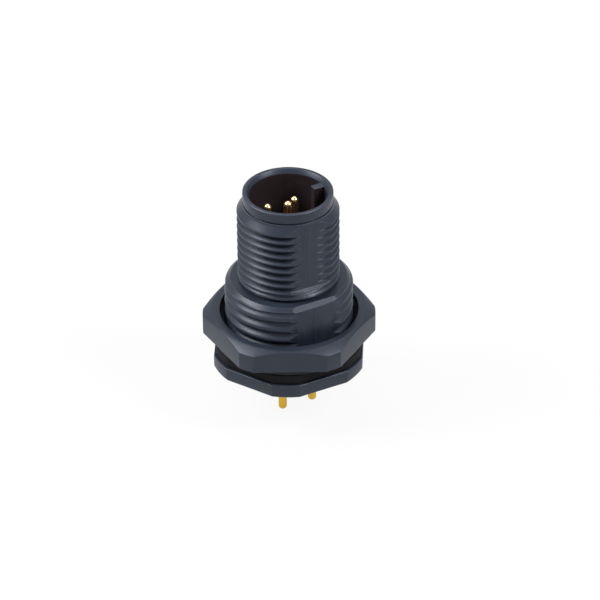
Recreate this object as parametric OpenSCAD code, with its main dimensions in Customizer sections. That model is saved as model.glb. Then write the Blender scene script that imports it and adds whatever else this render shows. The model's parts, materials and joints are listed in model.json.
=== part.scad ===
// Five-pole M12 panel connector: male contacts on the mating side, round solder
// tails on the board side. The moulded housing carries the coupling thread, the
// panel thread and the hexagon flange; a gasket, a slip washer and a hexagon lock
// nut hold it in a panel. The origin is the centre of the flange's panel side,
// +Z points to the mating end and +X points to the coding key.

/* [Flange] */
// How far the flange's flats stand out from the panel thread
flange_reach = 1.2; // [1:0.05:1.5]
// How far the flange's turned corners stand out from its flats
flange_corner = 0.55; // [0.4:0.05:0.9]
// Thickness of the flange
flange_t = 1.8; // [1.2:0.1:3]
// Chamfer round the flange's rear edge
flange_edge = 0.25; // [0.1:0.05:0.4]

/* [Panel thread] */
// Major diameter of the panel thread
panel_d = 15.2; // [14.9:0.05:15.4]
// Pitch of the panel thread
panel_pitch = 1.411; // [1.3:0.001:1.5]
// Depth of the panel thread
panel_depth = 0.67; // [0.4:0.01:0.72]
// Flank angle of the panel thread, both flanks together
panel_flank = 80; // [60:1:84]
// Height of the panel thread's barrel above the flange
panel_len = 9.4; // [8.6:0.1:11]
// Chamfer at the free end of the panel thread
panel_lead = 0.72; // [0.3:0.02:1]
// Height of the plain run-out at the foot of the panel thread
panel_runout = 0.8; // [0.4:0.1:1.5]
// Depth of the two flats that interrupt the panel thread
panel_flat = 0.83; // [0.7:0.01:0.95]

/* [Coupling thread] */
// Major diameter of the coupling thread
coupling_d = 12; // [11.8:0.05:12.4]
// Pitch of the coupling thread
coupling_pitch = 1; // [0.75:0.05:1.25]
// Depth of the coupling thread
coupling_depth = 0.61; // [0.3:0.01:0.65]
// Flank angle of the coupling thread, both flanks together
coupling_flank = 60; // [55:1:65]
// Height of the coupling thread above the panel thread's barrel
coupling_len = 9.25; // [7:0.25:12]
// Depth of the two flats that interrupt the coupling thread
coupling_flat = 0.7; // [0.55:0.01:0.75]
// Height of the ramp at each flat's foot, over which the flat runs out
flat_ramp_h = 0.95; // [0.5:0.05:1.5]
// Height of the full round left between each flat's ramp and the relief groove
flat_foot = 0.1; // [0.05:0.05:0.5]
// Height of the cone that leads the coupling nut on to the thread
lead_in_h = 0.9; // [0.5:0.05:1.2]
// Height of the plain run-out at the foot of the coupling thread
coupling_runout = 0.8; // [0.4:0.1:1.5]
// Width of the relief groove at the foot of the coupling thread
relief_w = 0.4; // [0.2:0.05:0.6]
// Depth of the relief groove at the foot of the coupling thread
relief_depth = 0.5; // [0.2:0.05:0.6]

/* [Collar] */
// How far the plain collar round the mouth lies inside the thread's crests
collar_drop = 0.7; // [0.65:0.05:0.8]
// Height of the collar
collar_h = 1.2; // [0.8:0.1:2]
// How far the neck below the collar lies inside the thread's crests
neck_drop = 0.65; // [0.55:0.05:0.75]
// Height of the neck
neck_h = 0.4; // [0.3:0.05:0.8]
// Width of the fine groove under the collar
collar_groove_w = 0.15; // [0.05:0.05:0.25]
// Depth of the fine groove under the collar
collar_groove_depth = 0.12; // [0.05:0.01:0.2]
// Width of the chamfer inside the mouth
mouth_chamfer = 0.34; // [0.1:0.02:0.5]
// Depth of the chamfer inside the mouth
mouth_chamfer_h = 0.5; // [0.2:0.05:0.8]

/* [Cavity and key] */
// Inside diameter of the mating cavity
cavity_d = 9; // [8.6:0.05:9.2]
// Depth of the mating cavity, from the mouth to the insulator's face
cavity_depth = 10.5; // [9:0.25:12]
// Width of the coding key
key_w = 0.95; // [0.6:0.05:1.2]
// How far the coding key stands in from the cavity's wall
key_reach = 1.3; // [0.8:0.05:1.5]
// How far the key's inner edges are cut back
key_edge = 0.15; // [0.05:0.05:0.25]
// Wall between the rear bore and the floor of the panel thread
barrel_wall = 1.03; // [0.8:0.01:1.2]
// Height of the rear bore's shoulder above the flange
seat_h = 7.6; // [7:0.1:8]

/* [Insulators] */
// Radial clearance of the insulators in the housing
insulator_fit = 0.05; // [0.02:0.01:0.1]
// Height of the joint between the two insulators above the flange
joint_h = 3.2; // [2.6:0.1:3.8]
// Height of the standoff boss below the flange
boss_len = 2; // [1:0.1:3]
// Width of the ring of sealing resin between the standoff boss and the bore
resin_w = 1.5; // [1.1:0.1:1.8]
// Thickness of the ring of sealing resin behind the insulators
resin_t = 1.2; // [0.6:0.1:1.6]
// How far the resin lies below the flange's rear face
resin_recess = 0.2; // [0.1:0.05:0.4]
// Width of the index rib that keeps the insulators from turning
index_w = 1.4; // [1:0.1:2]
// Height of the index rib
index_h = 1; // [0.6:0.1:1.2]
// How far the index rib stands in from the bore
index_reach = 0.6; // [0.3:0.05:0.7]
// Thickness of the seal ring's round section
seal_t = 0.9; // [0.7:0.05:1.1]
// Height of the seal ring's centre above the insulators' joint
seal_h = 2.2; // [2:0.1:2.4]

/* [Contacts] */
// Diameter of a contact pin
contact_d = 1; // [0.8:0.05:1.1]
// Diameter of the circle that the four outer contacts stand on
contact_circle_d = 5; // [4.8:0.05:5.4]
// How far the outer contacts' tips lie below the mouth
contact_drop = 2.3; // [1.8:0.1:4]
// How much longer the centre contact is
centre_lead = 0.85; // [0:0.05:1.2]
// Diameter of the shank that is pressed into the insulator
shank_d = 1.4; // [1.25:0.05:1.5]
// Diameter of the collar that keeps a contact in place
stop_d = 1.9; // [1.6:0.05:2]
// Thickness of that collar
stop_t = 0.8; // [0.5:0.05:1.2]
// Diameter of a solder tail
tail_d = 1; // [0.7:0.05:1.1]
// Diameter of the circle that the four outer solder tails stand on
tail_circle_d = 5.6; // [5.2:0.05:5.8]
// Length of the solder tails below the standoff boss
tail_len = 4.1; // [2.5:0.1:7]

/* [Gasket, washer and nut] */
// Thickness of the panel gasket
gasket_t = 1.3; // [0.8:0.1:2]
// How far the gasket's edge lies inside the flange's
gasket_inset = 0.3; // [0.1:0.05:0.5]
// How far the slip washer stands out from the panel thread
washer_reach = 1.4; // [1:0.1:1.6]
// Thickness of the slip washer
washer_t = 0.65; // [0.4:0.05:1]
// Radial clearance of the slip washer round the panel thread
washer_gap = 0.35; // [0.3:0.05:0.5]
// How far the lock nut's flats stand out from the panel thread
nut_reach = 1.725; // [1.6:0.025:2.2]
// How far the nut's turned corners stand out from its flats
nut_corner = 0.925; // [0.6:0.025:1.1]
// Thickness of the lock nut
nut_t = 2.9; // [2:0.1:4.5]
// How far inside the nut's flats its top chamfer starts
nut_chamfer = 0.225; // [0.1:0.025:0.5]
// Slope of the nut's top chamfer
nut_chamfer_angle = 30; // [15:1:35]
// Depth and width of the countersink at both ends of the nut's bore
nut_sink = 0.55; // [0.3:0.05:0.8]
// Radial running clearance of the nut on the panel thread
nut_fit = 0.05; // [0.02:0.01:0.1]
// How far the tightened nut has turned past the flange's corners
nut_turn = 33.4; // [0:0.1:60]

/* [Hidden] */

$fn = 96;
slate = "#404752";
black = "#241f20";
resin_black = "#15161a";
rubber_black = "#221c1e";
washer_black = "#2a2a31";
gold = "#d6ac28";

// Overlap of forms that are fused, and how far a cut runs past a face
eps = 0.01;
// Gap round cast resin and the seal ring, gap round what sits in a hole, and how
// far a contact's bare end starts inside its insulator
bond = 0.01;
hole_gap = 0.02;
step_in = 0.05;

// Diameters that follow the two threads
flange_af = panel_d + 2 * flange_reach;
flange_corner_d = flange_af + 2 * flange_corner;
nut_af = panel_d + 2 * nut_reach;
nut_corner_d = nut_af + 2 * nut_corner;
washer_d = panel_d + 2 * washer_reach;
bore_d = panel_d - 2 * panel_depth - 2 * barrel_wall;
boss_d = bore_d - 2 * resin_w;

// Heights of the housing
shoulder_z = panel_len;
thread_top_z = shoulder_z + coupling_len;
neck_z = thread_top_z + lead_in_h;
collar_z = neck_z + neck_h;
mouth_z = collar_z + collar_h;
face_z = mouth_z - cavity_depth;
seat_z = seat_h;

// Heights of the insulators and contacts
rear_z = -flange_t;
boss_z = rear_z - boss_len;
resin_z = rear_z + resin_recess;
resin_top_z = resin_z + resin_t;
joint_z = joint_h;
seal_z = joint_z + seal_h;
tail_tip_z = boss_z - tail_len;
outer_tip_z = mouth_z - contact_drop;
centre_tip_z = outer_tip_z + centre_lead;

// Heights of the stack on the flange
washer_z = gasket_t;
nut_z = washer_z + washer_t;

// Radii of the insulators' two steps
insert_r = bore_d / 2 - insulator_fit;
nose_r = cavity_d / 2 - insulator_fit;
seal_groove_r = bore_d / 2 - seal_t;

// ---- Helpers ----

// Hexagonal plate with its corners turned round, standing on z = 0
module hex_plate(af, corner_d, t) {
    intersection() {
        cylinder(h = t, r = af / 2 / cos(30), $fn = 6);
        cylinder(h = t, d = corner_d);
    }
}

// Half the width of a thread groove at its mouth, for a groove floor of width w
function groove_half(depth, flank, w) = w / 2 + depth * tan(flank / 2);

// Floor of a groove that leaves lands and floors of equal width in one pitch
function groove_floor(pitch, depth, flank) =
    max(0.05, (pitch - 2 * depth * tan(flank / 2)) / 2);

// Corners of one groove, from its lower edge to its upper edge
function groove(r, depth, flank, w, z) = [
    [r, z - groove_half(depth, flank, w)],
    [r - depth, z - w / 2],
    [r - depth, z + w / 2],
    [r, z + groove_half(depth, flank, w)]
];

// Corners of all the grooves that fit between z0 and z1, the top one a step below z1
function thread_edge(r, pitch, depth, flank, z0, z1) =
    let (
        w = groove_floor(pitch, depth, flank),
        n = floor((z1 - z0) / pitch)
    )
    [for (i = [n - 1:-1:0]) each groove(r, depth, flank, w, z1 - (i + 0.5) * pitch)];

// Two flats of the given depth on the ±Y sides, where the mould's halves part. Each
// runs from z0 to z1, and out to the barrel's full radius r over a ramp below z0
module parting_flats(r, depth, z0, z1, ramp_h) {
    for (s = [0, 1])
        mirror([0, s, 0])
            rotate([90, 0, -90])
                linear_extrude(2 * r, center = true)
                    polygon([
                        [-r + depth, z0], [-r + depth, z1],
                        [-2 * r, z1], [-2 * r, z0 - ramp_h * (1 + r / depth)]
                    ]);
}

// ---- Housing ----

// Hexagon flange, chamfered round its rear edge on the flats and on the corners
module flange() {
    corner_r = flange_corner_d / 2;
    translate([0, 0, rear_z])
        difference() {
            intersection() {
                hex_plate(flange_af, flange_corner_d, flange_t);
                rotate_extrude()
                    polygon([
                        [0, 0], [corner_r - flange_edge, 0], [corner_r + eps, flange_edge + eps],
                        [corner_r + eps, flange_t + eps], [0, flange_t + eps]
                    ]);
            }
            for (a = [30:60:330])
                rotate([0, 0, a])
                    translate([flange_af / 2, 0, 0])
                        rotate([0, 45, 0])
                            cube([flange_edge * sqrt(2), flange_af, flange_edge * sqrt(2)],
                                center = true);
        }
}

// Panel thread, standing on the flange
module panel_barrel() {
    r = panel_d / 2;
    difference() {
        rotate_extrude()
            polygon(concat(
                [[0, -eps], [r, -eps]],
                thread_edge(r, panel_pitch, panel_depth, panel_flank,
                    panel_runout, shoulder_z - panel_lead),
                [[r, shoulder_z - panel_lead], [r - panel_lead, shoulder_z], [0, shoulder_z]]
            ));
        parting_flats(r, panel_flat, 0, shoulder_z + eps, 0);
    }
}

// Coupling thread with its lead-in cone, neck and collar
module coupling_barrel() {
    r = coupling_d / 2;
    relief_r = r - relief_depth;
    neck_r = r - neck_drop;
    collar_r = r - collar_drop;
    groove_r = collar_r - collar_groove_depth;
    foot_z = shoulder_z + relief_w;
    difference() {
        rotate_extrude()
            polygon(concat(
                [[0, shoulder_z - eps], [relief_r, shoulder_z - eps], [relief_r, foot_z], [r, foot_z]],
                thread_edge(r, coupling_pitch, coupling_depth, coupling_flank,
                    foot_z + coupling_runout, thread_top_z),
                [
                    [r, thread_top_z], [neck_r, neck_z],
                    [neck_r, collar_z - collar_groove_w],
                    [groove_r, collar_z - collar_groove_w], [groove_r, collar_z],
                    [collar_r, collar_z], [collar_r, mouth_z], [0, mouth_z]
                ]
            ));
        parting_flats(r, coupling_flat, foot_z + flat_foot + flat_ramp_h, neck_z, flat_ramp_h);
    }
}

// Mating cavity with its chamfered mouth, and the rear bore for the insulators
module housing_bores() {
    translate([0, 0, rear_z - eps])
        cylinder(h = seat_z - rear_z + eps, d = bore_d);
    cylinder(h = mouth_z + eps, d = cavity_d);
    translate([0, 0, mouth_z - mouth_chamfer_h])
        cylinder(h = mouth_chamfer_h + eps, d1 = cavity_d, d2 = cavity_d + 2 * mouth_chamfer);
}

// Coding key, a rib down the cavity's wall from the mouth's chamfer to the insulator
module coding_key() {
    wall_r = cavity_d / 2;
    tip_r = wall_r - key_reach;
    translate([0, 0, face_z])
        intersection() {
            linear_extrude(mouth_z - mouth_chamfer_h - face_z)
                polygon([
                    [wall_r + 0.2, -key_w / 2], [tip_r + key_edge, -key_w / 2],
                    [tip_r, -key_w / 2 + key_edge], [tip_r, key_w / 2 - key_edge],
                    [tip_r + key_edge, key_w / 2], [wall_r + 0.2, key_w / 2]
                ]);
            cylinder(h = mouth_z, r = wall_r + 0.1);
        }
}

// Rib under the rear bore's shoulder, or the notch that clears it by gap
module index_rib(gap) {
    reach = index_reach + gap;
    translate([bore_d / 2 - reach, -index_w / 2 - gap, seat_z - index_h - gap])
        cube([reach + 0.2, index_w + 2 * gap, index_h + gap + (gap > 0 ? eps : 0.2)]);
}

module housing() {
    color(slate) {
        difference() {
            union() {
                flange();
                panel_barrel();
                coupling_barrel();
            }
            housing_bores();
        }
        coding_key();
        index_rib(0);
    }
}

// ---- Insulators, seal and resin ----

// Places its children at each contact: the four outer ones, then the centre one
module at_contacts(circle_d) {
    for (a = [45:90:315])
        rotate([0, 0, a])
            translate([circle_d / 2, 0, 0])
                children();
    children();
}

// Tab across the joint of the two insulators, or with a gap of 0 the slot it sits in
module joint_tab(gap) {
    tab_w = index_w - 2 * gap;
    translate([0, 0, joint_z - eps])
        intersection() {
            translate([-bore_d / 2, -tab_w / 2, 0])
                cube([index_w - gap, tab_w, stop_t - gap + eps]);
            cylinder(h = stop_t + 2 * eps, r = gap > 0 ? insert_r : bore_d / 2);
        }
}

// Front insulator: shows at the bottom of the cavity and carries the seal ring
module contact_insert() {
    stop_circle_d = (contact_circle_d + tail_circle_d) / 2;
    color(black)
        difference() {
            rotate_extrude()
                polygon([
                    [0, joint_z], [insert_r, joint_z],
                    [insert_r, seal_z - seal_t / 2 - hole_gap],
                    [seal_groove_r - hole_gap, seal_z - seal_t / 2 - hole_gap],
                    [seal_groove_r - hole_gap, seal_z + seal_t / 2 + hole_gap],
                    [insert_r, seal_z + seal_t / 2 + hole_gap],
                    [insert_r, seat_z], [nose_r, seat_z], [nose_r, face_z], [0, face_z]
                ]);
            at_contacts(contact_circle_d)
                cylinder(h = face_z + eps, d = shank_d + 2 * hole_gap);
            translate([0, 0, joint_z - eps])
                at_contacts(stop_circle_d)
                    cylinder(h = stop_t + hole_gap + eps, d = stop_d + 2 * hole_gap);
            index_rib(insulator_fit);
            joint_tab(0);
        }
}

// Rear insulator: traps the contacts, spreads the tails and stands off the board
module rear_insulator() {
    color(black)
        difference() {
            union() {
                translate([0, 0, resin_top_z])
                    cylinder(h = joint_z - resin_top_z, r = insert_r);
                translate([0, 0, boss_z])
                    cylinder(h = resin_top_z - boss_z + eps, d = boss_d);
                joint_tab(insulator_fit);
            }
            translate([0, 0, boss_z - eps])
                at_contacts(tail_circle_d)
                    cylinder(h = joint_z - boss_z + 2 * eps, d = shank_d + 2 * hole_gap);
        }
}

module insert_seal() {
    color(rubber_black)
        translate([0, 0, seal_z])
            rotate_extrude()
                translate([bore_d / 2 - seal_t / 2, 0])
                    circle(d = seal_t - 2 * bond);
}

module sealing_resin() {
    color(resin_black)
        translate([0, 0, resin_z])
            difference() {
                cylinder(h = resin_t, d = bore_d - 2 * bond);
                translate([0, 0, -eps])
                    cylinder(h = resin_t + 2 * eps, d = boss_d + 2 * bond);
            }
}

// ---- Contacts ----

// Rod of length l from z = 0 with a round end
module round_rod(d, l) {
    cylinder(h = l - d / 2, d = d);
    translate([0, 0, l - d / 2])
        sphere(d = d);
}

// One contact: its pin stands pin_r from the axis and its tail hangs tail_r from it
module contact(pin_r, tail_r, tip_z) {
    stop_z = joint_z + stop_t;
    pin_z = face_z - step_in;
    tail_z = boss_z + step_in;
    color(gold) {
        translate([pin_r, 0, stop_z - eps])
            cylinder(h = pin_z - stop_z + eps, d = shank_d);
        translate([pin_r, 0, pin_z - eps])
            round_rod(contact_d, tip_z - pin_z + eps);
        translate([(pin_r + tail_r) / 2, 0, joint_z])
            cylinder(h = stop_t, d = stop_d);
        translate([tail_r, 0, tail_z])
            cylinder(h = joint_z - tail_z + eps, d = shank_d);
        translate([tail_r, 0, tail_z + eps])
            mirror([0, 0, 1])
                round_rod(tail_d, tail_z + eps - tail_tip_z);
    }
}

// The n-th outer contact, counted round the axis from the first one past the key
module outer_contact(n) {
    rotate([0, 0, 45 + 90 * (n - 1)])
        contact(contact_circle_d / 2, tail_circle_d / 2, outer_tip_z);
}

// ---- Gasket, washer and nut ----

module panel_gasket() {
    color(rubber_black)
        difference() {
            hex_plate(flange_af - 2 * gasket_inset, flange_corner_d - 2 * gasket_inset, gasket_t);
            translate([0, 0, -eps])
                cylinder(h = gasket_t + 2 * eps, d = panel_d + 2 * hole_gap);
        }
}

module slip_washer() {
    color(washer_black)
        translate([0, 0, washer_z])
            difference() {
                cylinder(h = washer_t, d = washer_d);
                translate([0, 0, -eps])
                    cylinder(h = washer_t + 2 * eps, d = panel_d + 2 * washer_gap);
            }
}

// Lock nut, with a turned chamfer on its top and a bore countersunk at both ends
module lock_nut() {
    bore_r = panel_d / 2 + nut_fit;
    mouth_r = bore_r + nut_sink;
    face_r = nut_af / 2 - nut_chamfer;
    corner_r = nut_corner_d / 2 + 1;
    corner_drop = (corner_r - face_r) * tan(nut_chamfer_angle);
    color(slate)
        translate([0, 0, nut_z])
            rotate([0, 0, nut_turn])
                difference() {
                    hex_plate(nut_af, nut_corner_d, nut_t);
                    rotate_extrude()
                        polygon([
                            [corner_r, nut_t - corner_drop], [corner_r, nut_t + eps],
                            [face_r, nut_t + eps], [face_r, nut_t]
                        ]);
                    rotate_extrude()
                        polygon([
                            [0, -eps], [mouth_r + eps, -eps], [bore_r, nut_sink],
                            [bore_r, nut_t - nut_sink], [mouth_r + eps, nut_t + eps], [0, nut_t + eps]
                        ]);
                }
}

housing();
contact_insert();
rear_insulator();
insert_seal();
sealing_resin();
outer_contact(1);  // contact_1
outer_contact(2);  // contact_2
outer_contact(3);  // contact_3
outer_contact(4);  // contact_4
contact(0, 0, centre_tip_z);  // contact_5
panel_gasket();
slip_washer();
lock_nut();
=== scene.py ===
# %% [markdown]
# # A male M12 panel connector
# The part is a small moulded connector, 29 mm tall. A plastic housing carries two
# threads and a hexagon flange. A gasket, a slip washer and a lock nut sit on it, and
# five gold-plated contacts run through it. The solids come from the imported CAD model.
# This script dresses them: it winds the threads as true helices, softens the edges
# and gives every surface its finish.

# %% Load the frame
import json
import math

import bmesh
import bpy
from mathutils import Matrix, Vector

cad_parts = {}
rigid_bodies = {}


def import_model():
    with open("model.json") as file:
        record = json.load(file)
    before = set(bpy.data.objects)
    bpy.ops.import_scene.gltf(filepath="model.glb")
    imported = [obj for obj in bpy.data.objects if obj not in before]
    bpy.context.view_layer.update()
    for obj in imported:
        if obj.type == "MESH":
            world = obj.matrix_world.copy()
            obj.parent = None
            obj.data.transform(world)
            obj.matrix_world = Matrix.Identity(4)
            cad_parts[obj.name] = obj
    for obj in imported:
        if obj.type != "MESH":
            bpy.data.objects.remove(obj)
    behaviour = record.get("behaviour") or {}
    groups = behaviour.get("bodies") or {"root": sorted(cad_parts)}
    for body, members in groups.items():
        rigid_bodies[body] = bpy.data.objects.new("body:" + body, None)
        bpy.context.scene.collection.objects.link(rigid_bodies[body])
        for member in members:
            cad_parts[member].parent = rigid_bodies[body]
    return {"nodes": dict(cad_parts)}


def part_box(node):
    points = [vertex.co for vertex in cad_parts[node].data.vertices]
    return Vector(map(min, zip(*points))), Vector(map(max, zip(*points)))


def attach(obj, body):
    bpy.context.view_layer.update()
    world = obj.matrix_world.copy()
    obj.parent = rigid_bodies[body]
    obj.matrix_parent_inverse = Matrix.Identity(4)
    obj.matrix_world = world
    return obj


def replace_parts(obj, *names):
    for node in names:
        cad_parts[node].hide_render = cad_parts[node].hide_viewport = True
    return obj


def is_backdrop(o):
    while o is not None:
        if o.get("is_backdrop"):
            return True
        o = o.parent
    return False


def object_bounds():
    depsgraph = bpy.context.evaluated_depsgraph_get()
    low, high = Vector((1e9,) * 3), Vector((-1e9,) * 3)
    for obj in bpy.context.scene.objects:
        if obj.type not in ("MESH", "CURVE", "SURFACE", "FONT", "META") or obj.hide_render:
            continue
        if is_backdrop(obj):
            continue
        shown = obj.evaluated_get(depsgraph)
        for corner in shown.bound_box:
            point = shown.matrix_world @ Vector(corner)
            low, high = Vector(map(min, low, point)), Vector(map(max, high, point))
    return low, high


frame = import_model()
cad_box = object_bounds()
MM = 0.001
print("nodes:", len(frame["nodes"]))


# %% [markdown]
# ## Heights and radii
# A height that a CAD box can give is read from it, so that the dressing follows the
# solids. What no box can give, such as a pitch or a groove's depth, is a named value.
# All of them are in millimetres, and Z is the axis of both threads.

# %% Heights and radii
def low_z(node):
    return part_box(node)[0].z / MM


def high_z(node):
    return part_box(node)[1].z / MM


def half_width(node):
    """Half the X width of a node, which is its radius if it is round."""
    low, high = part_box(node)
    return (high.x - low.x) / 2 / MM


rear_z = low_z("housing")
mouth_z = high_z("housing")
face_z = high_z("contact_insert")
boss_z = low_z("rear_insulator")
gasket_top_z = high_z("panel_gasket")
nut_low_z = low_z("lock_nut")
nut_high_z = high_z("lock_nut")
tail_tip_z = low_z("contact_1")
shoulder_z = 9.4
thread_top_z = shoulder_z + 9.25
neck_z = thread_top_z + 0.9
collar_z = neck_z + 0.4
PANEL_R, PANEL_PITCH, PANEL_GROOVE = 7.6, 1.411, 0.45
COUPLING_R, COUPLING_PITCH, COUPLING_GROOVE = 6.0, 1.0, 0.61
print(f"mouth {mouth_z:.2f}, insulator face {face_z:.2f} mm")
print(f"nut {nut_low_z:.2f} to {nut_high_z:.2f} mm")

# %% [markdown]
# ## Softened outlines
# Every moulded or turned edge has a small radius, and that radius is what catches
# the light. An outline here is a list of points, each with a radius, a height and
# how far its corner is softened. A short curve through three points takes each
# corner's place. It is simpler than a bevel modifier, and it can't slip or overlap.

# %% Softened outlines
CORNER_STEPS = 3


def softened(outline, closed=True):
    """The outline (r, z, soft) as plain (r, z) points, with its corners rounded."""
    points = []
    count = len(outline)
    for i, (r, z, soft) in enumerate(outline):
        if not soft or (not closed and i in (0, count - 1)):
            points.append((r, z))
            continue
        corner = Vector((r, z))
        ends = []
        for other in (outline[i - 1], outline[(i + 1) % count]):
            side = Vector(other[:2]) - corner
            ends.append(corner + side.normalized() * min(soft, 0.45 * side.length))
        for k in range(CORNER_STEPS + 1):
            t = k / CORNER_STEPS
            p = ends[0] * (1 - t) ** 2 + corner * 2 * t * (1 - t) + ends[1] * t**2
            points.append((p.x, p.y))
    return points


# %% [markdown]
# ## Skinning a turned piece
# A turned piece is a closed outline carried round the Z axis. Here the outline may
# change with the angle, which makes a hexagon or a helix as easily as a ring. The
# points of neighbouring angles are joined by quads, and the last angle lands on the
# first. Points that fall on each other are then welded.

# %% Skin a turned piece
WELD = 2e-7
SHARP_ANGLE = math.radians(32)


def finish_mesh(obj):
    """Weld, face outwards, and shade smooth up to the sharp edges."""
    mesh = bmesh.new()
    mesh.from_mesh(obj.data)
    bmesh.ops.remove_doubles(mesh, verts=mesh.verts, dist=WELD)
    bmesh.ops.recalc_face_normals(mesh, faces=mesh.faces)
    mesh.to_mesh(obj.data)
    mesh.free()
    obj.data.shade_smooth()
    obj.data.set_sharp_from_angle(angle=SHARP_ANGLE)


def new_object(name, points, faces):
    """A mesh object from points in millimetres."""
    data = bpy.data.meshes.new(name)
    data.from_pydata([(x * MM, y * MM, z * MM) for x, y, z in points], [], faces)
    obj = bpy.data.objects.new(name, data)
    bpy.context.scene.collection.objects.link(obj)
    return obj


def skin(name, outline_at, angles, centre=(0, 0)):
    """Carry the closed outline outline_at(angle) round the Z axis."""
    points, faces = [], []
    for angle in angles:
        c, s = math.cos(angle), math.sin(angle)
        for r, z in outline_at(angle):
            points.append((centre[0] + r * c, centre[1] + r * s, z))
    rows = len(points) // len(angles)
    for i in range(len(angles) - 1):
        for j in range(rows):
            k = (j + 1) % rows
            a, b = i * rows, (i + 1) * rows
            faces.append((a + j, b + j, b + k, a + k))
    obj = new_object(name, points, faces)
    finish_mesh(obj)
    return obj


def full_circle(count, extra=()):
    """Angles from 0 to a full turn, with the extra ones put between."""
    angles = {round(2 * math.pi * i / count, 9) for i in range(count + 1)}
    angles |= {round(a % (2 * math.pi), 9) for a in extra}
    return sorted(angles)


# %% [markdown]
# ## Hexagons with turned corners
# The flange and the nut are hexagons whose corners are turned round. At each angle
# the edge lies on the flat or on the corner's arc, whichever is nearer. The angles
# at which flat and arc meet are put among the columns, so that the edge is crisp.

# %% Hexagons with turned corners
def hex_radius(angle, across_flats, corner_r, turn=0.0):
    """Distance from the axis to the edge of the turned hexagon."""
    part = (angle - turn) % (math.pi / 3)
    return min(corner_r, across_flats / 2 / math.cos(part - math.pi / 6))


def hex_turns(across_flats, corner_r, turn=0.0):
    """The angles where a flat meets a turned corner."""
    half = math.pi / 6 - math.acos(across_flats / 2 / corner_r)
    return [turn + math.pi / 3 * k + s * half for k in range(6) for s in (-1, 1)]


flange_corner_r = half_width("housing")
flange_low, flange_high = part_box("housing")
flange_af = (flange_high.y - flange_low.y) / MM
print(f"flange {flange_af:.2f} mm across flats, {2 * flange_corner_r:.2f} mm across corners")

# %% [markdown]
# ## A helical thread
# The solids carry each thread as parallel rings. The real threads are helices, so
# the outline inside a thread slides up by one pitch in each turn. Rows of points
# follow the crest, the flanks and the root, and rows past an end stop at that end.
# At its end the thread fades into the plain barrel, as a moulded thread does. The
# panel thread's grooves are shallower here than in the solids, with rounder roots.

# %% A helical thread
def smooth(x):
    """Ease from 0 to 1, flat at both ends."""
    x = min(1.0, max(0.0, x))
    return x * x * (3 - 2 * x)


class Thread:
    """A right-hand thread: its crest radius, pitch, depth, ends and profile."""

    def __init__(self, crest_r, pitch, depth, low, high, land, floor, fades):
        self.crest_r, self.pitch, self.depth = crest_r, pitch, depth
        self.low, self.high, self.fades = low, high, fades
        flank = (1 - land - floor) / 2
        a, b = land / 2, land / 2 + flank
        down = [(a, 0.04), (a + 0.25 * flank, 0.24), ((a + b) / 2, 0.5)]
        down += [(b - 0.25 * flank, 0.76), (b, 0.96)]
        up = [(1 - u, d) for u, d in reversed(down)]
        self.rows = [(0.0, 0.0), *down, (0.5, 1.0), *up]

    def cut(self, z):
        """How deep the groove may be at this height, from 0 to 1."""
        low, high = self.fades
        up = smooth((z - self.low) / low) if low else 1.0
        down = smooth((self.high - z) / high) if high else 1.0
        return min(up, down)

    def outline(self, angle, grow=0.0):
        """Rows (r, z) from the thread's low end to its high end at this angle."""
        points = []
        turn = angle / (2 * math.pi)
        first = math.floor(self.low / self.pitch) - 2
        last = math.ceil(self.high / self.pitch) + 1
        for k in range(first, last):
            for u, d in self.rows:
                z = min(self.high, max(self.low, self.pitch * (k + u + turn)))
                deep = d * self.cut(z) if self.low < z < self.high else 0.0
                points.append((self.crest_r - self.depth * deep + grow, z))
        return points


panel_thread = Thread(
    crest_r=PANEL_R,
    pitch=PANEL_PITCH,
    depth=PANEL_GROOVE,
    low=0.0,
    high=shoulder_z - 0.02,
    land=0.23,
    floor=0.09,
    fades=(0.9, 0),
)
coupling_thread = Thread(
    crest_r=COUPLING_R,
    pitch=COUPLING_PITCH,
    depth=COUPLING_GROOVE,
    low=shoulder_z + 0.45,
    high=thread_top_z,
    land=0.16,
    floor=0.10,
    fades=(0.7, 0.5),
)
print("rows per pitch:", len(panel_thread.rows))

# %% [markdown]
# ## The housing
# The housing is one moulding, so it is one closed outline: under the flange, round
# its edge, up the two threads to the collar, over the mouth's chamfer, down the
# cavity and out through the rear bore. A cone cuts back the top of the panel thread.

# %% The housing's outline
bore_r = half_width("sealing_resin") + 0.01
cavity_r = 4.5
bore_step_z = 7.6
lead_r = PANEL_R - 0.72
barrel_r, neck_r, groove_r, collar_r = 5.5, 5.35, 5.12, 5.3


def under_cone(points, tip_r, tip_z):
    """Keep the points inside a 45 degree cone that passes through its tip ring."""
    return [(min(r, tip_r + (tip_z - z)), z) for r, z in points]


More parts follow.
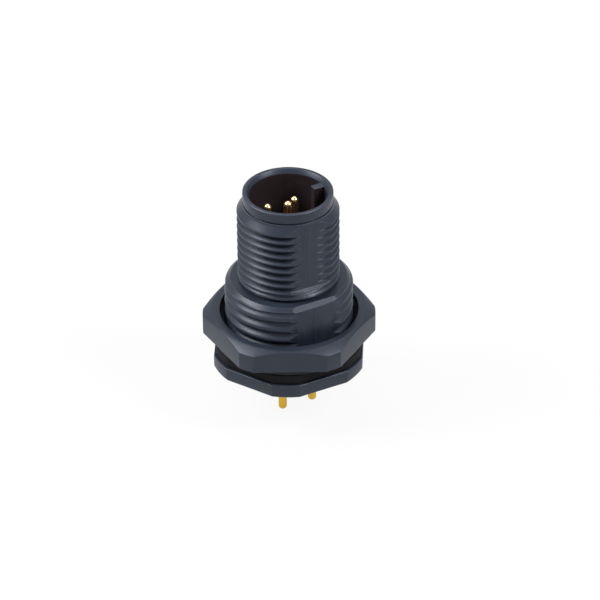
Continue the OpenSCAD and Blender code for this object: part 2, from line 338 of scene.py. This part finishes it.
def housing_outline(angle):
    edge = hex_radius(angle, flange_af, flange_corner_r)
    low = softened(
        [
            (bore_r, bore_step_z, 0),
            (bore_r, rear_z, 0.15),
            (edge - 0.25, rear_z, 0.08),
            (edge, rear_z + 0.25, 0.08),
            (edge, 0.0, 0.10),
            (PANEL_R, 0.0, 0),
        ],
        closed=False,
    )
    panel = under_cone(panel_thread.outline(angle), lead_r, shoulder_z)
    step = softened(
        [
            (lead_r, shoulder_z - 0.02, 0),
            (lead_r - 0.1, shoulder_z, 0),
            (barrel_r, shoulder_z, 0.12),
            (barrel_r, shoulder_z + 0.38, 0.12),
            (5.92, shoulder_z + 0.42, 0),
        ],
        closed=False,
    )
    coupling = coupling_thread.outline(angle)
    top = softened(
        [
            (COUPLING_R, thread_top_z, 0),
            (COUPLING_R, thread_top_z + 0.02, 0.18),
            (neck_r, neck_z, 0.12),
            (neck_r, collar_z - 0.2, 0.03),
            (groove_r, collar_z - 0.2, 0.03),
            (groove_r, collar_z, 0.03),
            (collar_r, collar_z, 0.06),
            (collar_r, mouth_z, 0.14),
            (4.84, mouth_z, 0.08),
            (cavity_r, mouth_z - 0.5, 0.06),
            (cavity_r, bore_step_z, 0),
        ],
        closed=False,
    )
    return low + panel + step + coupling + top


columns = full_circle(240, hex_turns(flange_af, flange_corner_r))
housing = skin("housing_moulding", housing_outline, columns)
print("housing:", len(housing.data.polygons), "faces before the flats are cut")


# %% [markdown]
# ## The two flats and the coding key
# The mould parts on the Y sides, where each thread is interrupted by a flat. The
# cutters leave a fine flash line in the middle of each flat. The coupling thread's
# flats run out at the foot over a ramp. Cutting and adding solids suits these forms
# better than moving points, because the cuts cross the helix at every height.

# %% Cut the flats and add the key
def prism(name, outline, low, high):
    """A solid from an outline (y, z), between two X values."""
    count = len(outline)
    points = [(x, y, z) for x in (low, high) for y, z in outline]
    faces = [tuple(range(count)), tuple(range(2 * count - 1, count - 1, -1))]
    for i in range(count):
        k = (i + 1) % count
        faces.append((i, i + count, k + count, k))
    obj = new_object(name, points, faces)
    finish_mesh(obj)
    return obj


def combine(obj, tool, operation):
    """Cut a tool from the object or add it, and remove the tool."""
    step = obj.modifiers.new("combine", "BOOLEAN")
    step.operation, step.object, step.solver = operation, tool, "MANIFOLD"
    bpy.context.view_layer.objects.active = obj
    bpy.ops.object.modifier_apply(modifier=step.name)
    bpy.data.objects.remove(tool)


FLASH = 0.05


def flat_cutters(r, depth, low, high, ramp):
    """Four blocks, two on each Y side, that leave a fine line between them."""
    for side in (-1, 1):
        face = r - depth
        outline = [(side * face, low), (side * face, high), (side * 2 * r, high)]
        if ramp:
            outline.append((side * 2 * r, low - ramp * (1 + r / depth)))
        else:
            outline.append((side * 2 * r, low))
        for x0, x1 in ((-r, -FLASH / 2), (FLASH / 2, r)):
            yield prism("cutter", outline, x0, x1)
        lifted = [(y + side * FLASH * 0.8, z) for y, z in outline]
        yield prism("cutter", lifted, -FLASH, FLASH)


for cutter in flat_cutters(PANEL_R, depth=0.83, low=0.0, high=shoulder_z + 0.2, ramp=0):
    combine(housing, cutter, "DIFFERENCE")
foot_z = shoulder_z + 1.45
for cutter in flat_cutters(COUPLING_R, depth=0.70, low=foot_z, high=neck_z, ramp=0.95):
    combine(housing, cutter, "DIFFERENCE")
print("housing:", len(housing.data.polygons), "faces with its flats")


# %% The coding key
key_w, key_tip, key_edge = 0.95, cavity_r - 1.3, 0.15


def key_ring(z, inset):
    """The key's section at a height, drawn in by the inset on its free sides."""
    w, tip, e = key_w / 2 - inset, key_tip + inset, key_edge
    across = [(cavity_r + 0.1, -w), (tip + e, -w)]
    across += [(tip + e * 0.3, -w + e * 0.3), (tip, -w + e)]
    across += [(x, -y) for x, y in reversed(across)]
    return [(x, y, z) for x, y in across]


levels = [(face_z - 0.5, 0), (mouth_z - 0.58, 0)]
levels += [(mouth_z - 0.52, 0.02), (mouth_z - 0.5, 0.08)]
rings = [key_ring(z, inset) for z, inset in levels]
ring_size = len(rings[0])
key_points = [p for ring in rings for p in ring]
top = len(key_points)
key_faces = [tuple(range(ring_size)), tuple(range(top - 1, top - ring_size - 1, -1))]
for j in range(len(rings) - 1):
    a, b = j * ring_size, (j + 1) * ring_size
    for i in range(ring_size):
        k = (i + 1) % ring_size
        key_faces.append((a + i, a + k, b + k, b + i))
key = new_object("coding_key", key_points, key_faces)
finish_mesh(key)
combine(housing, key, "UNION")
finish_mesh(housing)
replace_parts(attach(housing, "connector"), "housing")
print("housing:", len(housing.data.polygons), "faces with its key")

# %% [markdown]
# ## The lock nut
# The nut is the same kind of outline: a hexagon outside with a turned chamfer on
# top, and the panel thread inside with a small clearance. It uses the same thread
# rows as the housing, so its ridges lie in the housing's grooves. The joint turns
# and lifts it together, and the two helices stay in step all the way up.

# %% The lock nut
nut_af, nut_corner_r, nut_turn = 18.65, 10.25, math.radians(33.4)
nut_face_r, nut_slope = 9.1, math.tan(math.radians(30))
nut_mouth_r, nut_clearance = 8.2, 0.09
nut_bore_r = PANEL_R + nut_clearance
nut_thread = Thread(
    crest_r=PANEL_R,
    pitch=PANEL_PITCH,
    depth=PANEL_GROOVE,
    low=nut_low_z + 0.5,
    high=nut_high_z - 1.0,
    land=0.23,
    floor=0.09,
    fades=(0.4, 0.4),
)


def nut_outline(angle):
    edge = hex_radius(angle, nut_af, nut_corner_r, nut_turn)
    rim_z = nut_high_z - (edge - nut_face_r) * nut_slope
    outside = softened(
        [
            (nut_bore_r, nut_low_z + 0.5, 0),
            (nut_mouth_r, nut_low_z, 0.1),
            (edge, nut_low_z, 0.09),
            (edge, rim_z, 0.07),
            (nut_face_r, nut_high_z, 0.15),
            (nut_mouth_r, nut_high_z, 0.08),
            (nut_mouth_r - 0.05, nut_high_z - 0.55, 0.1),
            (nut_bore_r, nut_high_z - 1.0, 0),
        ],
        closed=False,
    )
    return outside + nut_thread.outline(angle, grow=nut_clearance)[::-1]


columns = full_circle(240, hex_turns(nut_af, nut_corner_r, nut_turn))
nut = skin("lock_nut_moulding", nut_outline, columns)
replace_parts(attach(nut, "nut"), "lock_nut")
print("nut:", len(nut.data.polygons), "faces")

# %% [markdown]
# ## Gasket, washer, seal and resin
# The gasket is soft rubber, pressed between flange and panel, so its free edge
# swells a little. The slip washer is a plain ring with soft edges. The resin was
# poured, so it climbs the walls a little on both sides and sinks in between.

# %% Gasket and slip washer
gasket_af, gasket_corner_r, gasket_bore_r = 17.0, 9.05, 7.63
GAP = 0.01


def gasket_outline(angle):
    edge = hex_radius(angle, gasket_af, gasket_corner_r)
    top_z = gasket_top_z - GAP
    return softened(
        [
            (gasket_bore_r, GAP, 0.1),
            (edge, GAP, 0.12),
            (edge + 0.07, gasket_top_z / 2, 0.5),
            (edge, top_z, 0.12),
            (gasket_bore_r, top_z, 0.1),
        ]
    )


columns = full_circle(144, hex_turns(gasket_af, gasket_corner_r))
gasket = skin("panel_gasket_rubber", gasket_outline, columns)
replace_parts(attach(gasket, "connector"), "panel_gasket")

washer_r, washer_bore_r = half_width("slip_washer"), 7.95
washer_low, washer_high = low_z("slip_washer") + 0.005, high_z("slip_washer") - 0.005
washer_ring = softened(
    [
        (washer_bore_r, washer_low, 0.08),
        (washer_r, washer_low, 0.12),
        (washer_r, washer_high, 0.12),
        (washer_bore_r, washer_high, 0.08),
    ]
)
washer = skin("slip_washer_ring", lambda angle: washer_ring, full_circle(144))
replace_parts(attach(washer, "washer"), "slip_washer")
for piece in (gasket, washer):
    print(piece.name, len(piece.data.polygons), "faces")

# %% Seal ring and resin
seal_low, seal_high = low_z("insert_seal"), high_z("insert_seal")
seal_r, seal_half = half_width("insert_seal"), (seal_high - seal_low) / 2
SEAL_SIDES, SEAL_FULL = 16, 0.98
seal_ring = []
for k in range(SEAL_SIDES):
    t = 2 * math.pi * k / SEAL_SIDES
    out = seal_r - seal_half + seal_half * SEAL_FULL * math.cos(t)
    seal_ring.append((out, seal_low + seal_half + seal_half * SEAL_FULL * math.sin(t)))
seal = skin("insert_seal_ring", lambda angle: seal_ring, full_circle(96))
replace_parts(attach(seal, "connector"), "insert_seal")

resin_low, resin_high = low_z("sealing_resin"), high_z("sealing_resin")
boss_r, climb, sink_z = 4.41, 0.35, resin_low + 0.16
resin_ring = softened(
    [
        (boss_r, resin_high, 0),
        (boss_r, resin_low, 0.05),
        (boss_r + climb, sink_z, 0.4),
        (bore_r - climb, sink_z, 0.4),
        (bore_r - 0.01, resin_low, 0.05),
        (bore_r - 0.01, resin_high, 0),
    ]
)
resin = skin("sealing_resin_ring", lambda angle: resin_ring, full_circle(96))
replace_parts(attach(resin, "connector"), "sealing_resin")
for piece in (seal, resin):
    print(piece.name, len(piece.data.polygons), "faces")

# %% [markdown]
# ## The contacts
# Each contact is turned from brass and gold plated. Its pin stands in the mouth, its
# collar is trapped between the insulators, and its tail goes through the board. The
# tails stand on a wider circle than the pins, so a contact is three turned lengths
# fused into one. The free ends are domes.

# %% The contacts
PIN_R, SHANK_R, STOP_R = 0.5, 0.7, 0.95
pin_circle, tail_circle, joint_z, stop_h = 2.5, 2.8, 3.2, 0.8


def dome(r, tip_z, way):
    """Points from the rim of a dome to its tip; way is 1 for a tip on top."""
    steps = 9
    turns = [math.pi / 2 * k / steps for k in range(steps + 1)]
    return [(r * math.cos(t), tip_z - way * r * (1 - math.sin(t)), 0) for t in turns]


def rod(name, outline, x, y):
    """A turned rod whose axis stands at x, y."""
    ring = softened(outline, closed=False)
    return skin(name, lambda angle: ring, full_circle(40), (x, y))


def turned_contact(name, angle, pin_at, tail_at, tip_z):
    """One contact: pin, stop collar and tail, each at its distance from the axis."""
    c, s = math.cos(angle), math.sin(angle)
    pin_z, tail_z = face_z - 0.05, boss_z + 0.05
    pin = [(0, joint_z + 0.3, 0), (SHANK_R, joint_z + 0.3, 0), (SHANK_R, pin_z, 0.04)]
    pin += [(PIN_R, pin_z, 0.03), *dome(PIN_R, tip_z, 1)]
    tail = [(0, joint_z + 0.2, 0), (SHANK_R, joint_z + 0.2, 0), (SHANK_R, tail_z, 0.04)]
    tail += [(PIN_R, tail_z, 0.03), *dome(PIN_R, tail_tip_z, -1)]
    stop_z = joint_z + stop_h
    stop = [(0, joint_z, 0), (STOP_R, joint_z, 0.1), (STOP_R, stop_z, 0.1), (0, stop_z, 0)]
    mid = (pin_at + tail_at) / 2
    contact = rod(name, pin, pin_at * c, pin_at * s)
    combine(contact, rod("stop", stop, mid * c, mid * s), "UNION")
    combine(contact, rod("tail", tail, tail_at * c, tail_at * s), "UNION")
    finish_mesh(contact)
    return contact


for n in range(1, 6):
    node = f"contact_{n}"
    centre = n == 5
    angle = 0 if centre else math.radians(45 + 90 * (n - 1))
    circles = (0, 0) if centre else (pin_circle, tail_circle)
    contact = turned_contact(f"plated_{node}", angle, *circles, high_z(node))
    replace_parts(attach(contact, "connector"), node)
print("contacts:", n, "of", len(contact.data.polygons), "faces")

# %% [markdown]
# ## Shared effects
# Moulded plastic isn't one flat colour: the mould's spark-eroded skin gives it a
# fine grain, and the melt leaves a soft mottle. Paler edges are a painted highlight.
# Each effect is a node group that gives out a mask or a height, so every material
# can place it at its own scale and strength.

# %% Node helpers


def new_group(name, inputs, outputs):
    """An empty node group with number inputs and outputs, and its two end nodes."""
    group = bpy.data.node_groups.new(name, "ShaderNodeTree")
    kind = "NodeSocketFloat"
    for label, value in inputs.items():
        socket = group.interface.new_socket(label, in_out="INPUT", socket_type=kind)
        socket.default_value = value
    for label in outputs:
        group.interface.new_socket(label, in_out="OUTPUT", socket_type=kind)
    return group, group.nodes.new("NodeGroupInput"), group.nodes.new("NodeGroupOutput")


def add_node(tree, kind, **values):
    """A node with its settings; values whose names are sockets fill those sockets."""
    node = tree.nodes.new("ShaderNode" + kind)
    for name, value in values.items():
        label = name.replace("_", " ")
        if label in node.inputs:
            node.inputs[label].default_value = value
        else:
            setattr(node, name, value)
    return node


def math_node(tree, operation, first, second=None):
    """A Math node on two inputs, each of them a socket or a plain number."""
    node = add_node(tree, "Math", operation=operation)
    for slot, value in zip(node.inputs, (first, second)):
        if isinstance(value, (int, float)):
            slot.default_value = value
        elif value is not None:
            tree.links.new(value, slot)
    return node.outputs[0]


def noise(tree, vector, scale, detail=2.0):
    """A noise texture's value at a scale that is itself a socket or a number."""
    node = add_node(tree, "TexNoise", Detail=detail)
    tree.links.new(vector, node.inputs["Vector"])
    if isinstance(scale, (int, float)):
        node.inputs["Scale"].default_value = scale
    else:
        tree.links.new(scale, node.inputs["Scale"])
    return node.outputs["Fac"]


# %% Moulded skin
sizes = {"Grain per metre": 9000.0, "Mottle per metre": 900.0}
skin_group, given, result = new_group("moulded_skin", sizes, ["Grain", "Mottle"])
place = add_node(skin_group, "TexCoord").outputs["Object"]
grain = noise(skin_group, place, given.outputs["Grain per metre"])
mottle = noise(skin_group, place, given.outputs["Mottle per metre"], detail=4.0)
skin_group.links.new(grain, result.inputs["Grain"])
skin_group.links.new(mottle, result.inputs["Mottle"])
print("group:", skin_group.name)

# %% Painted edge highlights
# The edge mask below paints the edges paler: a painted highlight along every edge.
sizes = {"Width": 0.00012, "Strength": 6.0}
edge_group, given, result = new_group("painted_edge_highlight", sizes, ["Edge"])
rounded = edge_group.nodes.new("ShaderNodeBevel")
rounded.samples = 6
edge_group.links.new(given.outputs["Width"], rounded.inputs["Radius"])
shape = add_node(edge_group, "NewGeometry")
meeting = add_node(edge_group, "VectorMath", operation="DOT_PRODUCT")
edge_group.links.new(rounded.outputs["Normal"], meeting.inputs[0])
edge_group.links.new(shape.outputs["Normal"], meeting.inputs[1])
turned = math_node(edge_group, "SUBTRACT", 1.0, meeting.outputs["Value"])
mask = add_node(edge_group, "Clamp")
stronger = math_node(edge_group, "MULTIPLY", turned, given.outputs["Strength"])
edge_group.links.new(stronger, mask.inputs["Value"])
edge_group.links.new(mask.outputs[0], result.inputs["Edge"])
print("group:", edge_group.name)

# %% [markdown]
# ## The plastics and rubbers
# All the dark parts are built by one helper: a base colour that drifts to a second
# one with the mottle, paler edges painted on as a highlight, a roughness that follows
# the grain, and a bump from the grain. Only the numbers differ: the glass-filled
# housing and nut are satin slate, the gasket and seal are matt black rubber, the
# insulators are smooth.

# %% Dark material helper
MOTTLE_SIZE = 2.5
BLUISH = (0.84, 0.88, 1.0, 1)


def moulded_material(name, deep, pale, edge_highlight, roughness, gloss, grain_size, bump, edge_width):
    """A moulded finish: linear colours, gloss as specular level, sizes in mm."""
    material = bpy.data.materials.new(name)
    material.use_nodes = True
    tree = material.node_tree
    shader = tree.nodes["Principled BSDF"]
    effect = tree.nodes.new("ShaderNodeGroup")
    effect.node_tree = skin_group
    effect.inputs["Grain per metre"].default_value = 1000 / grain_size
    effect.inputs["Mottle per metre"].default_value = 1000 / MOTTLE_SIZE
    edges = tree.nodes.new("ShaderNodeGroup")
    edges.node_tree = edge_group
    edges.inputs["Width"].default_value = edge_width * MM
    drift = add_node(tree, "Mix", data_type="RGBA")
    drift.inputs["A"].default_value = (*deep, 1)
    drift.inputs["B"].default_value = (*pale, 1)
    tree.links.new(effect.outputs["Mottle"], drift.inputs["Factor"])
    # Paler colour on the edges: a painted edge highlight.
    highlight_mix = add_node(tree, "Mix", data_type="RGBA")
    highlight_mix.inputs["B"].default_value = (*edge_highlight, 1)
    tree.links.new(edges.outputs["Edge"], highlight_mix.inputs["Factor"])
    tree.links.new(drift.outputs["Result"], highlight_mix.inputs["A"])
    tree.links.new(highlight_mix.outputs["Result"], shader.inputs["Base Color"])
    spread = add_node(tree, "MapRange", To_Min=roughness[0], To_Max=roughness[1])
    tree.links.new(effect.outputs["Grain"], spread.inputs["Value"])
    tree.links.new(spread.outputs["Result"], shader.inputs["Roughness"])
    relief = add_node(tree, "Bump", Strength=bump, Distance=0.00002)
    tree.links.new(effect.outputs["Grain"], relief.inputs["Height"])
    tree.links.new(relief.outputs["Normal"], shader.inputs["Normal"])
    shader.inputs["Specular IOR Level"].default_value = gloss
    shader.inputs["Specular Tint"].default_value = BLUISH
    return material


def give(piece, material):
    """Puts one material on a piece, in place of whatever it had."""
    piece.data.materials.clear()
    piece.data.materials.append(material)


# %% Housing, nut, washer and insulators
slate = moulded_material(
    "slate_polyamide",
    deep=(0.012, 0.0165, 0.027),
    pale=(0.019, 0.025, 0.038),
    edge_highlight=(0.06, 0.08, 0.12),
    roughness=(0.32, 0.46),
    gloss=0.4,
    grain_size=0.11,
    bump=0.35,
    edge_width=0.12,
)
# A darker, less glossy copy of the slate for the washer in the nut's shade: painted shade.
shaded_slate = moulded_material(
    "dark_slate_polyamide",
    deep=(0.008, 0.010, 0.014),
    pale=(0.013, 0.015, 0.020),
    edge_highlight=(0.04, 0.046, 0.06),
    roughness=(0.4, 0.55),
    gloss=0.2,
    grain_size=0.12,
    bump=0.35,
    edge_width=0.1,
)
# The insulators' own black, also put on the housing's cavity walls as painted shade.
insulator_black_and_cavity_shade = moulded_material(
    "insulator_black_and_cavity_shade",
    deep=(0.017, 0.012, 0.014),
    pale=(0.026, 0.019, 0.021),
    edge_highlight=(0.03, 0.025, 0.03),
    roughness=(0.3, 0.45),
    gloss=0.25,
    grain_size=0.12,
    bump=0.25,
    edge_width=0.08,
)
give(housing, slate)
# The cavity's upright walls belong to the housing moulding; the darker, less glossy
# insulator finish on them paints the shade inside the mouth.
housing.data.materials.append(insulator_black_and_cavity_shade)
for face in housing.data.polygons:
    middle = face.center / MM
    upright_wall = abs(face.normal.z) < 0.5
    in_cavity = face_z - 0.2 < middle.z < mouth_z - 0.52
    if upright_wall and in_cavity and middle.xy.length < cavity_r + 0.05:
        face.material_index = 1
give(nut, slate)
# The washer wears the darker slate copy: painted shade under the nut.
give(washer, shaded_slate)
for node in ("contact_insert", "rear_insulator"):
    frame["nodes"][node].material_slots[0].material = insulator_black_and_cavity_shade
    print(node, "keeps its solid, in", insulator_black_and_cavity_shade.name)

# %% Rubbers and resin
rubber = moulded_material(
    "black_rubber",
    deep=(0.005, 0.0045, 0.005),
    pale=(0.009, 0.008, 0.009),
    edge_highlight=(0.02, 0.018, 0.02),
    roughness=(0.55, 0.75),
    gloss=0.12,
    grain_size=0.16,
    bump=0.6,
    edge_width=0.1,
)
potting = moulded_material(
    "potting_resin",
    deep=(0.012, 0.010, 0.010),
    pale=(0.022, 0.018, 0.016),
    edge_highlight=(0.03, 0.026, 0.024),
    roughness=(0.12, 0.22),
    gloss=0.5,
    grain_size=0.9,
    bump=0.3,
    edge_width=0.05,
)
give(gasket, rubber)
give(seal, rubber)
give(resin, potting)

# %% [markdown]
# ## The gold plating
# The plating is thin, so it keeps the turning marks of the brass below it: very fine
# rings round the pin. A wave along the pin's axis gives these rings as a bump, and a
# faint mottle makes the gold a little redder in places. The colour also drifts paler
# with height toward the pins: a painted highlight on the pin domes.

# %% Gold
gold = bpy.data.materials.new("gold_plating")
gold.use_nodes = True
tree = gold.node_tree
shader = tree.nodes["Principled BSDF"]
shader.inputs["Metallic"].default_value = 1.0
effect = tree.nodes.new("ShaderNodeGroup")
effect.node_tree = skin_group
effect.inputs["Grain per metre"].default_value = 16000
effect.inputs["Mottle per metre"].default_value = 1500
drift = add_node(tree, "Mix", data_type="RGBA")
drift.inputs["A"].default_value = (0.76, 0.45, 0.035, 1)
drift.inputs["B"].default_value = (0.86, 0.56, 0.06, 1)
tree.links.new(effect.outputs["Mottle"], drift.inputs["Factor"])
height = add_node(tree, "SeparateXYZ")
tree.links.new(add_node(tree, "TexCoord").outputs["Object"], height.inputs[0])
# Paler gold with height toward the pins: a painted highlight on the pin domes.
toward_pins = add_node(tree, "MapRange", From_Min=0.006, From_Max=0.014)
tree.links.new(height.outputs["Z"], toward_pins.inputs["Value"])
pin_highlight = add_node(tree, "Mix", data_type="RGBA")
pin_highlight.inputs["B"].default_value = (0.86, 0.62, 0.34, 1)
tree.links.new(toward_pins.outputs["Result"], pin_highlight.inputs["Factor"])
tree.links.new(drift.outputs["Result"], pin_highlight.inputs["A"])
tree.links.new(pin_highlight.outputs["Result"], shader.inputs["Base Color"])
spread = add_node(tree, "MapRange", To_Min=0.18, To_Max=0.32)
tree.links.new(effect.outputs["Grain"], spread.inputs["Value"])
tree.links.new(spread.outputs["Result"], shader.inputs["Roughness"])
turning = add_node(tree, "TexWave", bands_direction="Z", Scale=3500.0, Distortion=0.6)
tree.links.new(add_node(tree, "TexCoord").outputs["Object"], turning.inputs["Vector"])
relief = add_node(tree, "Bump", Strength=0.12, Distance=0.00001)
tree.links.new(turning.outputs["Fac"], relief.inputs["Height"])
tree.links.new(relief.outputs["Normal"], shader.inputs["Normal"])
for piece in [o for o in bpy.data.objects if o.name.startswith("plated_contact")]:
    give(piece, gold)
    print(piece.name, "in", gold.name)

# %% [markdown]
# ## Floor and backdrop
# The part stands on its contacts' tails over a plain white sheet. The sheet is an
# ordinary white surface for the light, so it lights the part from below and takes its
# shadow. To the eye it is mostly plain white, with a faint shadow. Reflections see it
# at a lower weight than the eye does, because a fully white floor would bleach the
# upright faces, which mirror it at a low angle.

# %% The sheet
sheet_z = tail_tip_z
reach = 2000
corners = [(-reach, -reach), (reach, -reach), (reach, reach), (-reach, reach)]
sheet = new_object("white_sheet", [(x, y, sheet_z) for x, y in corners], [(0, 1, 2, 3)])
sheet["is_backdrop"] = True
paper = bpy.data.materials.new("white_paper")
paper.use_nodes = True
tree = paper.node_tree
tree.nodes.clear()
surface = add_node(tree, "BsdfDiffuse", Color=(0.6, 0.6, 0.6, 1))
plain = add_node(tree, "Emission", Color=(1, 1, 1, 1), Strength=1.0)
rays = add_node(tree, "LightPath")
SHEET_TO_EYE, SHEET_TO_GLOSS, ROOM_TO_GLOSS = 0.92, 0.6, 0.4
direct = math_node(tree, "MULTIPLY", rays.outputs["Is Camera Ray"], SHEET_TO_EYE)
mirrored = math_node(tree, "MULTIPLY", rays.outputs["Is Glossy Ray"], SHEET_TO_GLOSS)
share = math_node(tree, "MAXIMUM", direct, mirrored)
blend = add_node(tree, "MixShader")
tree.links.new(share, blend.inputs["Fac"])
tree.links.new(surface.outputs[0], blend.inputs[1])
tree.links.new(plain.outputs[0], blend.inputs[2])
one_sided = add_node(tree, "MixShader")
tree.links.new(add_node(tree, "NewGeometry").outputs["Backfacing"], one_sided.inputs["Fac"])
tree.links.new(blend.outputs[0], one_sided.inputs[1])
tree.links.new(add_node(tree, "BsdfTransparent").outputs[0], one_sided.inputs[2])
tree.links.new(one_sided.outputs[0], add_node(tree, "OutputMaterial").inputs["Surface"])
give(sheet, paper)

# %% The room
world = bpy.data.worlds.new("studio")
bpy.context.scene.world = world
world.use_nodes = True
tree = world.node_tree
tree.nodes.clear()
rays = add_node(tree, "LightPath")
soft = add_node(tree, "Background", Color=(1, 1, 1, 1), Strength=0.25)
white = add_node(tree, "Background", Color=(1, 1, 1, 1), Strength=1.0)
mirrored = math_node(tree, "MULTIPLY", rays.outputs["Is Glossy Ray"], ROOM_TO_GLOSS)
share = math_node(tree, "MAXIMUM", rays.outputs["Is Camera Ray"], mirrored)
blend = add_node(tree, "MixShader")
tree.links.new(share, blend.inputs["Fac"])
tree.links.new(soft.outputs[0], blend.inputs[1])
tree.links.new(white.outputs[0], blend.inputs[2])
tree.links.new(blend.outputs[0], add_node(tree, "OutputWorld").inputs["Surface"])

# %% [markdown]
# ## Camera and lamps
# A long lens from well back keeps the upright edges nearly parallel. The lamps are
# soft boxes placed round the part by their direction, so each cylinder gets a broad
# highlight on one side and a narrow one on the other.

# %% The camera
VIEW_TURN, VIEW_RISE = math.radians(-117.3), math.radians(34.0)
VIEW_ROLL = math.radians(0.45)
VIEW_DISTANCE, LENS = 420.0, 217.5
AIM_RIGHT, AIM_DOWN = 1.41, 12.66


def toward(turn, rise):
    """The unit direction at a compass turn and a rise, both in radians."""
    out = math.cos(rise)
    return Vector((out * math.cos(turn), out * math.sin(turn), math.sin(rise)))


view_dir = toward(VIEW_TURN, VIEW_RISE)
level = Vector((-math.sin(VIEW_TURN), math.cos(VIEW_TURN), 0))
upright = view_dir.cross(level)
right = level * math.cos(VIEW_ROLL) - upright * math.sin(VIEW_ROLL)
up = upright * math.cos(VIEW_ROLL) + level * math.sin(VIEW_ROLL)
aim = Vector((0, 0, mouth_z)) + AIM_RIGHT * right - AIM_DOWN * up
lens = bpy.data.cameras.new("product_lens")
lens.lens, lens.sensor_width, lens.clip_start = LENS, 36.0, 0.01
camera = bpy.data.objects.new("product_camera", lens)
bpy.context.scene.collection.objects.link(camera)
camera.matrix_world = Matrix((right, up, view_dir)).transposed().to_4x4()
camera.location = (aim + VIEW_DISTANCE * view_dir) * MM
bpy.context.scene.camera = camera
print("camera at", [round(c, 3) for c in camera.location])

# %% The lamps
LAMP_AIM = Vector((0, 0, 8))


def softbox(name, turn, rise, distance, width, height, power):
    """A rectangular lamp, in mm, with its turn in degrees from the camera's side."""
    data = bpy.data.lights.new(name, "AREA")
    data.shape, data.size, data.size_y = "RECTANGLE", width * MM, height * MM
    data.energy = power
    lamp = bpy.data.objects.new(name, data)
    bpy.context.scene.collection.objects.link(lamp)
    away = toward(VIEW_TURN + math.radians(turn), math.radians(rise))
    lamp.location = (LAMP_AIM + away * distance) * MM
    lamp.rotation_euler = away.to_track_quat("Z", "Y").to_euler()


softbox("left_box", -86, 44, 500, 220, 240, 3.0)
softbox("right_box", 66, 46, 500, 150, 220, 2.1)
softbox("top_box", 180, 62, 600, 400, 300, 1.0)
bpy.context.scene.view_settings.view_transform = "Standard"

# %% Sizes, and the end
boxes = {"cad": [list(v) for v in cad_box], "visual": [list(v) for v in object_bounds()]}
for name, (low, high) in boxes.items():
    print(name, [round((b - a) * 1000, 2) for a, b in zip(low, high)])
